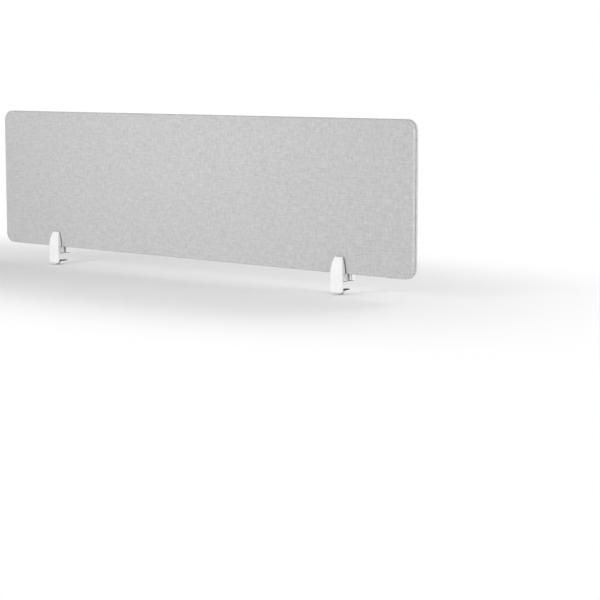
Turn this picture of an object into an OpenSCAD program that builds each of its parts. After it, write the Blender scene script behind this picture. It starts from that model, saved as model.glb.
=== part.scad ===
// Desk privacy panel: an upholstered screen held on a desk edge by two cast clamps.
// Origin: on the desk top plane at the desk edge, midway between the clamps.
// +X runs along the panel, +Y points inward over the desk, +Z is up. Sizes are in millimetres.

/* [Panel] */
// Length of the panel
panel_length = 1600; // [1300:10:2000]
// Height of the panel
panel_height = 400; // [300:10:700]
// Thickness over both covers
panel_thickness = 22; // [18:0.5:28]
// Radius of the panel's corners
corner_radius = 30; // [20:1:40]
// Radius of the soft edge between a face and the rim
edge_radius = 4; // [3:0.5:6]

/* [Upholstery] */
// Thickness of the woven covers
cover_thickness = 0.8; // [0.5:0.1:1.2]
// Thickness of the wadding under each cover
wadding_thickness = 2.2; // [1.5:0.1:3]
// Width of the seam that shows between the covers
seam_width = 2; // [1.2:0.2:3]
// Depth of the groove that takes the covers' lips and the keder
groove_depth = 6; // [4:0.5:8]
// How far the keder sits below the rim
keder_recess = 0.6; // [0.2:0.1:1]

/* [Frame] */
// Width of the two stiles
stile_width = 45; // [42:1:80]
// Height of the top rail
top_rail_height = 40; // [36:1:80]
// Height of the bottom rail, which the clamps press on
bottom_rail_height = 60; // [50:1:100]
// Diameter of the dowels in the frame's joints
dowel_diameter = 8; // [6:1:10]
// Length of the dowels
dowel_length = 50; // [30:2:60]

/* [Clamp placing] */
// Distance between the middles of the two clamps
clamp_spacing = 1120; // [400:10:1200]
// Thickness of the desk top that the clamps are set to
desk_thickness = 22; // [16:1:28]
// Gap between the desk top and the panel
panel_lift = 20; // [20:0.5:26]
// Distance of the panel's outer face behind the desk edge
panel_setback = 3.5; // [2.5:0.5:8]

/* [Leaves] */
// Width of a leaf below the panel's bottom edge
leaf_width = 41; // [38:1:56]
// Width of a leaf at its tip
leaf_tip_width = 26; // [20:1:36]
// How far a leaf reaches up the panel
leaf_overlap = 44; // [36:1:60]
// How far the outer leaf reaches below the desk top plane
leaf_drop = 29; // [27:1:36]
// Distance of the outer leaf's face in front of the desk edge
leaf_standoff = 11.5; // [11.5:0.5:15]
// Thickness of a leaf at its tip
leaf_tip = 3.5; // [3:0.5:6]
// Thickness of the inner leaf at its root
inner_root = 10; // [9.5:0.5:14]
// Wall of the cast leaves
leaf_wall = 2.4; // [2:0.1:3]
// Depth of the rim round the outer leaf below the panel
leaf_rim = 5; // [4:0.5:6]
// Radius of the outer leaf's lower corners
leaf_corner = 9; // [5:0.5:12]
// Thickness of the liners between the leaves and the cloth
liner_thickness = 2.5; // [1:0.1:3.5]

/* [Shelf and foot] */
// Width of the shelf and of the inner foot
shelf_width = 38; // [36:1:44]
// How far the shelf reaches over the desk top
shelf_reach = 12; // [5:0.5:13]
// How far the inner foot reaches under the panel
foot_toe = 4.5; // [3:0.5:6]
// How far that toe stays below the top of the shelf
toe_drop = 1.5; // [1:0.25:3]
// Thickness of the pads on the desk top
seat_pad = 1.5; // [1:0.1:2.5]
// Thickness of the strips against the desk edge
edge_pad = 1; // [0.5:0.1:1.5]

/* [Cross bolt] */
// Thread diameter of the cross bolt
cross_diameter = 6; // [5:1:6]
// Height of the cross bolt's axis above the desk top
cross_height = 12.5; // [11:0.5:13]
// Outer diameter of the boss that the cross bolt screws into
cross_boss = 11; // [9.5:0.5:13]
// Room between that boss and the inner foot
cross_boss_room = 1; // [0.5:0.5:4]
// Diameter of the guide pins
pin_diameter = 4; // [3:0.5:5]
// Distance between the guide pins
pin_spacing = 26; // [22:1:30]
// How far the inner jaw opens
inner_travel = 8; // [4:0.5:9]
// How far the guide pins still reach into the inner jaw when it is open
pin_hold = 4; // [3:0.5:4.5]

/* [Lower jaw] */
// Thread diameter of the draw bolt
draw_diameter = 5; // [4:1:5]
// Distance of the draw bolt's axis in front of the desk edge
draw_offset = 4.4; // [4.2:0.1:4.6]
// How far the draw bolt reaches above the desk top plane
draw_reach = 11.5; // [8:0.5:12]
// Width of the channel that guides the lower jaw
channel_width = 16.8; // [15:0.2:20]
// Thickness of the ribs beside the channel
rib_thickness = 3; // [2:0.5:4]
// Length of the arm under the desk top
arm_length = 37; // [30:1:50]
// Width of the arm at its root
arm_width = 32; // [24:1:40]
// Width of the arm at its tip
arm_tip_width = 22; // [16:1:24]
// Depth of the arm at its root
arm_root = 8.5; // [6:0.5:12]
// Depth of the arm at its tip
arm_tip = 4; // [3:0.5:5]
// Thickness of the lower jaw's boss around the draw bolt
draw_boss = 5.5; // [4:0.5:6]
// Height of the cheeks that run in the channel
cheek_height = 12; // [8:1:14]
// Thickness of the pad on the arm
lower_pad_thickness = 1.5; // [1:0.1:2.5]

/* [Hidden] */
$fa = 2;
$fs = 0.4;
// Room between pieces that move past each other
gap = 0.3;
// Radial room of a running fit and of a pressed pin
running = 0.05;
pressed = 0.01;
// Overlap that makes cuts pass through and joins merge
over = 1;

// Panel: depth of the frame, and how far its edge lies inside the cover's round edge
frame_thickness = panel_thickness - 2 * (cover_thickness + wadding_thickness);
edge_inner = edge_radius - cover_thickness;
edge_rise = max(0, edge_inner - wadding_thickness);
frame_inset = edge_radius - sqrt(edge_inner * edge_inner - edge_rise * edge_rise) + gap;
frame_length = panel_length - 2 * frame_inset;
frame_height = panel_height - 2 * frame_inset;
rail_length = frame_length - 2 * stile_width;
lip_gap = 0.1;
groove_width = seam_width + 2 * (cover_thickness + lip_gap);
lip_depth = frame_inset + groove_depth - gap;
// Dowels: wood left between them and the groove, and between them and a rail's inner edge
dowel_outer_wood = 6;
dowel_inner_wood = 4;
dowel_first = groove_depth + dowel_outer_wood + dowel_diameter / 2;
dowel_from_inside = dowel_inner_wood + dowel_diameter / 2;
dowel_room = 1;

// Clamp: the planes in which the leaves meet their liners
panel_back = panel_setback + panel_thickness;
outer_grip = panel_setback - gap - liner_thickness;
inner_grip = panel_back + gap + liner_thickness;
inner_back = inner_grip + inner_root;
leaf_top = panel_lift + leaf_overlap;
plate_back = leaf_wall - leaf_standoff;
shelf_top = panel_lift - gap;
foot_front = panel_back - foot_toe;
toe_top = shelf_top - toe_drop;
liner_margin = 1.5;
pad_margin = 1;
core_rib = 2.5;
least_corner = 0.5;
// Socket screws: widths of the head and of its hexagon, for each millimetre of thread
head_ratio = 1.7;
socket_ratio = 0.95;
// Cross bolt: its head lies in a recess of the inner jaw, and its end stays clear of the draw bolt
cross_head = head_ratio * cross_diameter;
cross_head_height = cross_diameter;
cross_washer_height = 1.2;
cross_seat = inner_back - cross_head_height - cross_washer_height;
cross_room = 0.4;
recess_room = 0.5;
tip_clearance = 1;
cross_end = draw_diameter / 2 - draw_offset + tip_clearance;
cross_boss_end = foot_front - cross_boss_room;
// Guide pins: below the bolt's axis, and long enough for the open jaw
pin_drop = 2.5;
pin_height = cross_height - pin_drop;
pin_start = 1;
pin_length = foot_front + inner_travel + pin_hold - pin_start;
// Draw bolt: a low headed screw below the lower jaw's boss
low_head_ratio = 0.8;
draw_head = head_ratio * draw_diameter;
draw_head_height = low_head_ratio * draw_diameter;
draw_washer_height = 1;
draw_room = 0.5;
// Lower jaw: it runs in the channel with some play
jaw_play = 0.4;
jaw_top = -desk_thickness - lower_pad_thickness;
jaw_bottom = jaw_top - draw_boss;
jaw_width = channel_width - 2 * jaw_play;
jaw_front = plate_back + gap;
cheek_back = -edge_pad - jaw_play;
cheek_inside = draw_head / 2 + jaw_play;
arm_front = 2.5;
arm_end = arm_front + arm_length;

// Radius of a circle that bows out by run over a height of rise and ends upright
function bow_radius(rise, run) = (rise * rise + run * run) / (2 * run);

// Upright stands a drawing of (x, z) up and sweeps it along Y, from y0 to y1
module upright(y0, y1) {
    translate([0, y1, 0]) rotate([90, 0, 0]) linear_extrude(y1 - y0) children();
}

// Sideways stands a drawing of (y, z) up and sweeps it along X, over the given width
module sideways(width) {
    translate([-width / 2, 0, 0]) rotate([90, 0, 90]) linear_extrude(width) children();
}

// A box given by its lowest and highest corner
module block(low, high) {
    translate(low) cube(high - low);
}

// The panel is drawn lying down, with +Z towards the outer face, and then stood on its edge
module stand_panel() {
    translate([0, panel_setback + panel_thickness / 2, panel_lift + panel_height / 2])
        rotate([90, 0, 0]) children();
}

// Sweeps a rim profile (distance from the corner's middle, height) along one straight edge and one corner
module rim_quarter(length, width, radius) {
    translate([length / 2 - radius, width / 2 - radius, 0]) rotate_extrude(angle = 90) children();
    translate([radius - length / 2, width / 2 - radius, 0])
        rotate([90, 0, 90]) linear_extrude(length - 2 * radius) children();
}

// Sweeps a rim profile all the way round the panel
module rim() {
    for (turn = [0, 180]) {
        rotate(turn) rim_quarter(panel_length, panel_height, corner_radius) children();
        rotate(turn + 90) rim_quarter(panel_height, panel_length, corner_radius) children();
    }
}

// Rounded plate, centred, with its underside at z
module rounded_plate(length, width, radius, z, height) {
    translate([0, 0, z]) linear_extrude(height) {
        square([length - 2 * radius, width], center = true);
        square([length, width - 2 * radius], center = true);
        for (x = [-1, 1], y = [-1, 1])
            translate([x * (length / 2 - radius), y * (width / 2 - radius)]) circle(radius);
    }
}

// Section through half a cushion edge, from the seam up to the face
module edge_section(inset, low) {
    top = panel_thickness / 2;
    translate([0, low]) square([corner_radius - edge_radius, top - inset - low]);
    translate([0, low]) square([corner_radius - inset, top - edge_radius - low]);
    translate([corner_radius - edge_radius, top - edge_radius]) circle(edge_radius - inset);
}

// One cover: the face, the round edge and the lip in the groove
module cover() {
    seam = seam_width / 2;
    rim() {
        difference() {
            edge_section(0, seam);
            edge_section(cover_thickness, -over);
        }
        translate([corner_radius - lip_depth, seam]) square([lip_depth, cover_thickness]);
    }
    face = panel_thickness / 2 - cover_thickness;
    block([corner_radius - panel_length / 2, corner_radius - panel_height / 2, face],
          [panel_length / 2 - corner_radius, panel_height / 2 - corner_radius, panel_thickness / 2]);
}

module front_cover() {
    color("gainsboro") stand_panel() cover();
}

module back_cover() {
    color("gainsboro") stand_panel() mirror([0, 0, 1]) cover();
}

module edge_keder() {
    depth = lip_depth - keder_recess;
    color("darkgray") stand_panel() rim()
        translate([corner_radius - keder_recess - depth, lip_gap - seam_width / 2])
            square([depth, seam_width - 2 * lip_gap]);
}

module wadding() {
    rounded_plate(panel_length - 2 * edge_radius, panel_height - 2 * edge_radius, corner_radius - edge_radius,
                  frame_thickness / 2, wadding_thickness);
}

module front_wadding() {
    color("ivory") stand_panel() wadding();
}

module back_wadding() {
    color("ivory") stand_panel() mirror([0, 0, 1]) wadding();
}

// Groove round the frame's rim
module frame_groove() {
    rim() translate([corner_radius - frame_inset - groove_depth, -groove_width / 2])
        square([groove_depth + over, groove_width]);
}

// Dowels at the four joints, widened by play
module dowels(play, extra) {
    places = [
        frame_height / 2 - dowel_first,
        frame_height / 2 - top_rail_height + dowel_from_inside,
        dowel_first - frame_height / 2,
        bottom_rail_height - dowel_from_inside - frame_height / 2,
    ];
    for (end = [-1, 1], y = places)
        translate([end * rail_length / 2, y, 0]) rotate([0, 90, 0])
            cylinder(d = dowel_diameter + 2 * play, h = dowel_length + extra, center = true);
}

module frame_dowels() {
    color("peru") stand_panel() dowels(0, 0);
}

// One stile, on the side of +X, with the panel's round corners
module stile() {
    difference() {
        intersection() {
            rounded_plate(frame_length, frame_height, corner_radius - frame_inset,
                          -frame_thickness / 2, frame_thickness);
            block([rail_length / 2, -frame_height, -frame_thickness],
                  [frame_length, frame_height, frame_thickness]);
        }
        frame_groove();
        dowels(pressed, dowel_room);
    }
}

module frame_right_stile() {
    color("burlywood") stand_panel() stile();
}

module frame_left_stile() {
    color("burlywood") stand_panel() mirror([1, 0, 0]) stile();
}

// One rail, between two heights in the lying panel
module rail(low, high) {
    difference() {
        block([-rail_length / 2, low, -frame_thickness / 2], [rail_length / 2, high, frame_thickness / 2]);
        frame_groove();
        dowels(pressed, dowel_room);
    }
}

module frame_top_rail() {
    color("burlywood") stand_panel() rail(frame_height / 2 - top_rail_height, frame_height / 2);
}

module frame_bottom_rail() {
    color("burlywood") stand_panel() rail(-frame_height / 2, bottom_rail_height - frame_height / 2);
}

module absorber_core() {
    color("khaki") stand_panel()
        block([gap - rail_length / 2, bottom_rail_height - frame_height / 2 + gap, -frame_thickness / 2],
              [rail_length / 2 - gap, frame_height / 2 - top_rail_height - gap, frame_thickness / 2]);
}

// The lens that two large circles share, which gives both sides of a leaf
module bow_lens(inset) {
    radius = bow_radius(leaf_overlap, (leaf_width - leaf_tip_width) / 2);
    intersection() {
        translate([leaf_width / 2 - radius, panel_lift]) circle(radius - inset);
        translate([radius - leaf_width / 2, panel_lift]) circle(radius - inset);
    }
}

// Front view of a leaf (x, z): upright sides that bow in towards the tip
module leaf_outline(inset, low, corner) {
    width = leaf_width - 2 * inset;
    round_corner = max(corner - inset, least_corner);
    bottom = low + inset;
    intersection() {
        bow_lens(inset);
        translate([-width / 2, panel_lift - over]) square([width, leaf_overlap - inset + over]);
    }
    translate([-width / 2, bottom + round_corner]) square([width, panel_lift - bottom - round_corner]);
    translate([round_corner - width / 2, bottom]) square([width - 2 * round_corner, 2 * round_corner]);
    for (x = [-1, 1])
        translate([x * (width / 2 - round_corner), bottom + round_corner]) circle(round_corner);
}

// Side view of the outer leaf (y, z): thin at the tip, bowing out to its full standoff at the panel's edge
module outer_section(inset) {
    run = leaf_standoff + outer_grip - leaf_tip;
    radius = bow_radius(leaf_overlap, run);
    intersection() {
        translate([radius - leaf_standoff, panel_lift]) circle(radius - inset);
        translate([-leaf_standoff, panel_lift]) square([leaf_standoff + outer_grip, leaf_overlap - inset]);
    }
}

// Side view of the inner leaf and foot (y, z)
module inner_section(inset) {
    run = inner_root - leaf_tip;
    radius = bow_radius(leaf_overlap, run);
    intersection() {
        translate([inner_back - radius, panel_lift]) circle(radius - inset);
        translate([inner_grip, panel_lift]) square([inner_root, leaf_overlap - inset]);
    }
}

// Hollow in the grip side of a leaf, with a rib left standing in its middle
module leaf_hollow() {
    difference() {
        intersection() {
            upright(-leaf_standoff, inner_back) leaf_outline(leaf_wall, panel_lift - over, 0);
            children();
            block([-leaf_width, -leaf_standoff, panel_lift + leaf_wall],
                  [leaf_width, inner_back, leaf_top]);
        }
        block([-core_rib / 2, -leaf_standoff - over, 0], [core_rib / 2, inner_back + over, leaf_top]);
    }
}

// Liner on a leaf, between two planes
module liner(y0, y1) {
    intersection() {
        upright(y0, y1) leaf_outline(liner_margin, 0, 0);
        block([-leaf_width, y0, panel_lift + liner_margin], [leaf_width, y1, leaf_top]);
    }
}

module outer_jaw() {
    color("white") difference() {
        union() {
            // Leaf on the panel
            intersection() {
                upright(-leaf_standoff, outer_grip) leaf_outline(0, -leaf_drop, leaf_corner);
                sideways(leaf_width) outer_section(0);
            }
            // Leaf and rim in front of the desk edge
            difference() {
                upright(-leaf_standoff, leaf_rim - leaf_standoff) intersection() {
                    leaf_outline(0, -leaf_drop, leaf_corner);
                    translate([-leaf_width, -leaf_drop]) square([2 * leaf_width, leaf_drop + panel_lift]);
                }
                upright(plate_back, over) intersection() {
                    leaf_outline(leaf_wall, -leaf_drop, leaf_corner);
                    translate([-leaf_width, -leaf_drop]) square([2 * leaf_width, leaf_drop + seat_pad]);
                }
            }
            // Shelf over the desk edge
            block([-shelf_width / 2, plate_back - over, seat_pad], [shelf_width / 2, shelf_reach, shelf_top]);
            // Ribs beside the channel
            for (side = [-1, 1])
                translate([side * (channel_width + rib_thickness) / 2, 0, 0])
                    block([-rib_thickness / 2, plate_back - over, leaf_wall - leaf_drop],
                          [rib_thickness / 2, -edge_pad, seat_pad + over]);
            // Boss for the cross bolt
            translate([0, shelf_reach - over, cross_height]) rotate([-90, 0, 0])
                cylinder(d = cross_boss, h = cross_boss_end - shelf_reach + over);
        }
        leaf_hollow() sideways(leaf_width) outer_section(leaf_wall);
        // Channel, open below for the draw bolt's head
        block([-channel_width / 2, plate_back, -leaf_drop - over], [channel_width / 2, over, 0]);
        // Bores for the draw bolt, the cross bolt and the guide pins
        translate([0, -draw_offset, 0])
            cylinder(d = draw_diameter + 2 * running, h = shelf_top - leaf_wall / 2);
        translate([0, cross_end - cross_room, cross_height]) rotate([-90, 0, 0])
            cylinder(d = cross_diameter + 2 * running, h = cross_boss_end - cross_end + cross_room + over);
        for (side = [-1, 1])
            translate([side * pin_spacing / 2, pin_start, pin_height]) rotate([-90, 0, 0])
                cylinder(d = pin_diameter + 2 * pressed, h = shelf_reach);
    }
}

module outer_liner() {
    color("dimgray") liner(outer_grip, outer_grip + liner_thickness);
}

module shelf_pad() {
    color("dimgray") block([pad_margin - shelf_width / 2, 0, 0],
                           [shelf_width / 2 - pad_margin, shelf_reach, seat_pad]);
}

module edge_pads() {
    color("dimgray") for (side = [-1, 1])
        translate([side * (channel_width + rib_thickness) / 2, 0, 0])
            block([-rib_thickness / 2, -edge_pad, leaf_wall - leaf_drop], [rib_thickness / 2, 0, 0]);
}

module guide_pins() {
    color("silver") for (side = [-1, 1])
        translate([side * pin_spacing / 2, pin_start, pin_height]) rotate([-90, 0, 0])
            cylinder(d = pin_diameter, h = pin_length);
}

module inner_jaw() {
    color("white") difference() {
        union() {
            // Leaf behind the panel
            intersection() {
                upright(inner_grip, inner_back) leaf_outline(0, seat_pad, 0);
                sideways(leaf_width) inner_section(0);
            }
            // Root of the leaf and its toe under the panel
            block([-leaf_width / 2, inner_grip, seat_pad], [leaf_width / 2, inner_back, panel_lift]);
            block([-shelf_width / 2, foot_front, seat_pad], [shelf_width / 2, inner_grip + over, toe_top]);
        }
        leaf_hollow() sideways(leaf_width) inner_section(leaf_wall);
        // Bore and recess for the cross bolt
        translate([0, foot_front - over, cross_height]) rotate([-90, 0, 0])
            cylinder(d = cross_diameter + 2 * cross_room, h = inner_back - foot_front + 2 * over);
        translate([0, cross_seat, cross_height]) rotate([-90, 0, 0])
            cylinder(d = cross_head + 2 * recess_room, h = inner_back - cross_seat + over);
        // Bores in which the guide pins run
        for (side = [-1, 1])
            translate([side * pin_spacing / 2, foot_front - over, pin_height]) rotate([-90, 0, 0])
                cylinder(d = pin_diameter + 2 * running, h = pin_start + pin_length - foot_front + 2 * over);
    }
}

module inner_liner() {
    color("dimgray") liner(inner_grip - liner_thickness, inner_grip);
}

module foot_pad() {
    color("dimgray") block([pad_margin - shelf_width / 2, foot_front + pad_margin, 0],
                           [shelf_width / 2 - pad_margin, inner_back - pad_margin, seat_pad]);
}

// Socket screw along +Z: its head starts at z = 0 and its shank hangs below
module socket_screw(diameter, length, head, head_height) {
    difference() {
        union() {
            translate([0, 0, -length]) cylinder(d = diameter, h = length + over);
            cylinder(d = head, h = head_height);
        }
        translate([0, 0, head_height / 2]) cylinder(d = socket_ratio * diameter, h = head_height, $fn = 6);
    }
}

// Flat washer with its underside at z = 0
module washer(hole, outside, height) {
    difference() {
        cylinder(d = outside, h = height);
        translate([0, 0, -over]) cylinder(d = hole, h = height + 2 * over);
    }
}

module cross_bolt() {
    under_head = cross_seat + cross_washer_height;
    color("silver") translate([0, under_head, cross_height]) rotate([-90, 0, 0])
        socket_screw(cross_diameter, under_head - cross_end, cross_head, cross_head_height);
}

module cross_washer() {
    color("silver") translate([0, cross_seat, cross_height]) rotate([-90, 0, 0])
        washer(cross_diameter + 2 * cross_room, cross_head, cross_washer_height);
}

// Arm under the desk top, as seen from above (x, y)
module arm_plan(inset) {
    tip = arm_tip_width / 2;
    polygon([
        [-arm_width / 2 + inset, arm_front + inset], [arm_width / 2 - inset, arm_front + inset],
        [tip - inset, arm_end - tip], [inset - tip, arm_end - tip],
    ]);
    translate([0, arm_end - tip]) circle(tip - inset);
}

module lower_jaw() {
    color("white") difference() {
        union() {
            // Arm, deepest at its root
            intersection() {
                translate([0, 0, jaw_top - arm_root]) linear_extrude(arm_root) arm_plan(0);
                sideways(arm_width) polygon([
                    [arm_front, jaw_top], [arm_end, jaw_top],
                    [arm_end, jaw_top - arm_tip], [arm_front, jaw_top - arm_root],
                ]);
            }
            // Boss below the desk edge
            block([-jaw_width / 2, jaw_front, jaw_bottom], [jaw_width / 2, arm_front + over, jaw_top]);
            // Cheeks that run in the channel
            for (side = [-1, 1])
                block([min(side * cheek_inside, side * jaw_width / 2), jaw_front, jaw_bottom],
                      [max(side * cheek_inside, side * jaw_width / 2), cheek_back, jaw_top + cheek_height]);
        }
        translate([0, -draw_offset, jaw_bottom - over])
            cylinder(d = draw_diameter + 2 * draw_room, h = draw_boss + 2 * over);
    }
}

module lower_pad() {
    color("dimgray") translate([0, 0, jaw_top]) linear_extrude(lower_pad_thickness) arm_plan(pad_margin);
}

module draw_bolt() {
    under_head = jaw_bottom - draw_washer_height;
    color("silver") translate([0, -draw_offset, under_head]) rotate([180, 0, 0])
        socket_screw(draw_diameter, draw_reach - under_head, draw_head, draw_head_height);
}

module draw_washer() {
    color("silver") translate([0, -draw_offset, jaw_bottom - draw_washer_height])
        washer(draw_diameter + 2 * draw_room, draw_head, draw_washer_height);
}

module at_left() {
    translate([-clamp_spacing / 2, 0, 0]) children();
}

module at_right() {
    translate([clamp_spacing / 2, 0, 0]) children();
}

frame_top_rail();
frame_bottom_rail();
frame_left_stile();
frame_right_stile();
frame_dowels();
absorber_core();
front_wadding();
back_wadding();
front_cover();
back_cover();
edge_keder();

at_left() outer_jaw();  // left_outer_jaw
at_left() outer_liner();  // left_outer_liner
at_left() shelf_pad();  // left_shelf_pad
at_left() edge_pads();  // left_edge_pads
at_left() guide_pins();  // left_guide_pins
at_left() inner_jaw();  // left_inner_jaw
at_left() inner_liner();  // left_inner_liner
at_left() foot_pad();  // left_foot_pad
at_left() cross_bolt();  // left_cross_bolt
at_left() cross_washer();  // left_cross_washer
at_left() lower_jaw();  // left_lower_jaw
at_left() lower_pad();  // left_lower_pad
at_left() draw_bolt();  // left_draw_bolt
at_left() draw_washer();  // left_draw_washer

at_right() outer_jaw();  // right_outer_jaw
at_right() outer_liner();  // right_outer_liner
at_right() shelf_pad();  // right_shelf_pad
at_right() edge_pads();  // right_edge_pads
at_right() guide_pins();  // right_guide_pins
at_right() inner_jaw();  // right_inner_jaw
at_right() inner_liner();  // right_inner_liner
at_right() foot_pad();  // right_foot_pad
at_right() cross_bolt();  // right_cross_bolt
at_right() cross_washer();  // right_cross_washer
at_right() lower_jaw();  // right_lower_jaw
at_right() lower_pad();  // right_lower_pad
at_right() draw_bolt();  // right_draw_bolt
at_right() draw_washer();  // right_draw_washer
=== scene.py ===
"""Desk privacy panel: an upholstered screen held by two cast clamps, dressed for rendering."""
import math

import bmesh
import bpy
from bpy.props import FloatProperty, FloatVectorProperty, IntProperty, PointerProperty
from bpy.types import Operator, Panel, PropertyGroup
from mathutils import Matrix, Vector, noise


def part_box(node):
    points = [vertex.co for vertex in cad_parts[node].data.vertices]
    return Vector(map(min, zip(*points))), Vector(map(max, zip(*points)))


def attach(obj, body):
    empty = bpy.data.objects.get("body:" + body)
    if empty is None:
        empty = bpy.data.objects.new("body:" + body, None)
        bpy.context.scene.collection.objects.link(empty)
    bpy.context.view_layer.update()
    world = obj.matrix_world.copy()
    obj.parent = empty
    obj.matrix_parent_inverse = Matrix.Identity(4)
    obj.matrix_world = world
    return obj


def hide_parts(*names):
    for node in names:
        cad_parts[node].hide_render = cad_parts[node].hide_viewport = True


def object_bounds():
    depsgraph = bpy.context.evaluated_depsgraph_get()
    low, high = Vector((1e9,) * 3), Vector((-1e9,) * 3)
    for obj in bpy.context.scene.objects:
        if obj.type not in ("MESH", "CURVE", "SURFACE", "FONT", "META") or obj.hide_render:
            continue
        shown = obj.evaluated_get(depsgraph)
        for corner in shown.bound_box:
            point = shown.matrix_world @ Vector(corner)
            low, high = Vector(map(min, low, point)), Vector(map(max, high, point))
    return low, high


bl_info = {
    "name": "Desk Privacy Panel",
    "version": (1, 0, 0),
    "blender": (4, 5, 0),
    "location": "View3D > Sidebar > Desk Panel",
    "description": "Dresses an upholstered desk screen and its two clamps",
    "category": "Object",
}

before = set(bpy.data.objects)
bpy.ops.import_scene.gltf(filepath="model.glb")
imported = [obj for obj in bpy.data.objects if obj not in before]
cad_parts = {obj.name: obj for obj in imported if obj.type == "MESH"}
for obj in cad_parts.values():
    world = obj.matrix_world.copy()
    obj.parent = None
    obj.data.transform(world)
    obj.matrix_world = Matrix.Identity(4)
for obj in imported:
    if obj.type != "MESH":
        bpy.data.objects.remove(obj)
CAD_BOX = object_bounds()
SIDES = ("left", "right")
FACES = ("front", "back")
TOUCHING = 1e-5
QUARTER_TURN = math.pi / 2
FULL_TURN = 2 * math.pi

# Faces of a solid that turn less than the first are one face, and edges that turn more than the second are sharp
SAME_FACE = math.radians(0.5)
SHARP_EDGE = math.radians(35)

# The border of a casting's outer face: its greatest depth in metres, and how far its two faces look outwards
BORDER_DEPTH = 0.012
LOOKS_OUT = 0.7
LOOKS_AWAY = 0.5
# An edge nearer to a bolt's axis than this share of the bolt's head belongs to its hole
HOLE_SHARE = 0.65

# Mesh steps round the panel's corners, over the cover's profile and round turned pieces
COVER_CORNER_STEPS = 10
WADDING_CORNER_STEPS = 8
STRIP_CORNER_STEPS = 12
STRIP_CELLS = (24, 6)
SOFT_STEPS = 5
EDGE_STEPS = 8
SEAM_STEPS = 6
PIN_STEPS = 28
SCREW_STEPS = 36
WASHER_STEPS = 40
SHOW_SEGMENTS = 5
SMALL_SEGMENTS = 2

# Each lamp: name, place, aim, side length in metres and the setting that holds its power
LAMPS = (
    ("key_lamp", (-0.1, -2.5, 0.55), (0.0, 0.0, 0.15), 1.1, "key_power"),
    ("side_lamp", (3.2, 0.35, 0.8), (0.7, 0.0, 0.2), 1.2, "side_power"),
    ("back_lamp", (0.4, 2.9, 1.6), (0.0, 0.0, 0.2), 2.4, "back_power"))

# The floor: its room below the part, half its length, and where it fades to white
FLOOR_ROOM = 0.0004
FLOOR_REACH = 30.0
FADE_SHAPE = (0.8, 1.5, 0.0)
FADE_START = 0.55
FADE_END = 1.6


class UpholsterySizes(PropertyGroup):
    """Sizes of the stretched covers, the wadding below them and the strip in the seam."""

    corner_radius: FloatProperty(
        name="Corner radius", description="Radius of the panel's four corners", default=0.030, unit="LENGTH")
    edge_radius: FloatProperty(
        name="Edge radius", description="Radius where a cover turns over the rim", default=0.004, unit="LENGTH")
    seam_radius: FloatProperty(
        name="Seam radius", description="Radius where a cover turns into the seam", default=0.0014, unit="LENGTH")
    tuck: FloatProperty(
        name="Tuck", description="Depth of cloth held in the groove", default=0.0066, unit="LENGTH")
    cloth: FloatProperty(
        name="Cloth", description="Thickness of the woven cloth", default=0.0008, unit="LENGTH")
    edge_drop: FloatProperty(
        name="Edge drop", description="How far a face falls away before its edge", default=0.0003, unit="LENGTH")
    ripple: FloatProperty(
        name="Ripple", description="Unevenness of the stretched face", default=0.00008, unit="LENGTH")
    mesh_step: FloatProperty(
        name="Mesh step", description="Length of a mesh cell on the flat face", default=0.012, unit="LENGTH")


class ClothFinish(PropertyGroup):
    """Weave and colours of the upholstery."""

    yarns: FloatProperty(
        name="Yarns per metre", description="Warp or weft yarns in one metre of cloth", default=820.0)
    light_yarn: FloatVectorProperty(
        name="Light yarn", description="Lightest fibre of the mixed yarn", default=(0.677, 0.677, 0.674),
        size=3, subtype="COLOR")
    dark_yarn: FloatVectorProperty(
        name="Dark yarn", description="Darkest fibre of the mixed yarn", default=(0.387, 0.387, 0.390),
        size=3, subtype="COLOR")
    seam_strip: FloatVectorProperty(
        name="Seam strip", description="Colour of the strip in the seam", default=(0.21, 0.21, 0.215),
        size=3, subtype="COLOR")
    fleece: FloatVectorProperty(
        name="Fleece", description="Colour of the wadding", default=(0.82, 0.81, 0.78), size=3, subtype="COLOR")
    felt: FloatVectorProperty(
        name="Felt", description="Colour of the absorbing core", default=(0.30, 0.30, 0.31), size=3, subtype="COLOR")
    frame_wood: FloatVectorProperty(
        name="Frame wood", description="Colour of the frame's wood", default=(0.60, 0.43, 0.25),
        size=3, subtype="COLOR")
    dowel_wood: FloatVectorProperty(
        name="Dowel wood", description="Colour of the dowels", default=(0.55, 0.36, 0.21), size=3, subtype="COLOR")


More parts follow.
